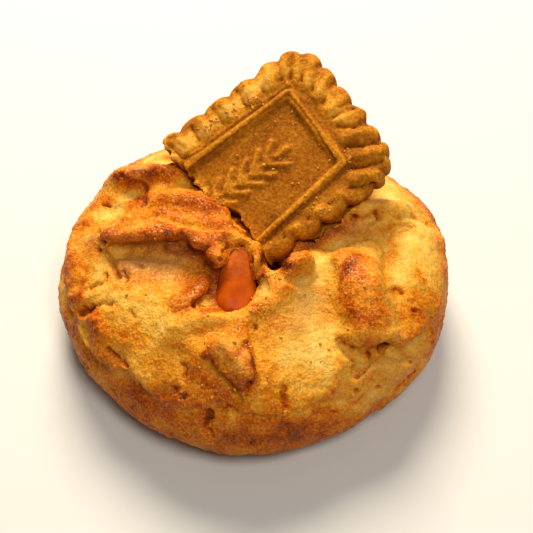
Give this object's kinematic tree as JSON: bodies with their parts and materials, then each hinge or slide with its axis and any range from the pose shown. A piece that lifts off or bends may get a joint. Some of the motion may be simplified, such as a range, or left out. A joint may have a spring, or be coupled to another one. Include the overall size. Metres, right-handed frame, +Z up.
{
  "type": "apple cookie",
  "caption": "Thick round baked cookie with a folded, browned crust, a snapped spiced biscuit leaning in its crown and a wedge of cooked apple.",
  "frame": {"origin": "centre of the cookie's flat underside, on the surface it rests on", "axes": "+Z up out of the crown; the pictured side faces -Y, with +X to its right"},
  "size_m": [0.0826, 0.0819, 0.045],
  "materials": {
    "baked_dough": "baked crust, golden to brown, faintly greasy",
    "spiced_biscuit": "dry, fine sandy crumb",
    "cooked_apple": "wet, glossy, slightly see-through"
  },
  "bodies": {
    "root": {"dough": "baked_dough", "biscuit": "spiced_biscuit", "apple_wedge": "cooked_apple"}
  },
  "joints": []
}
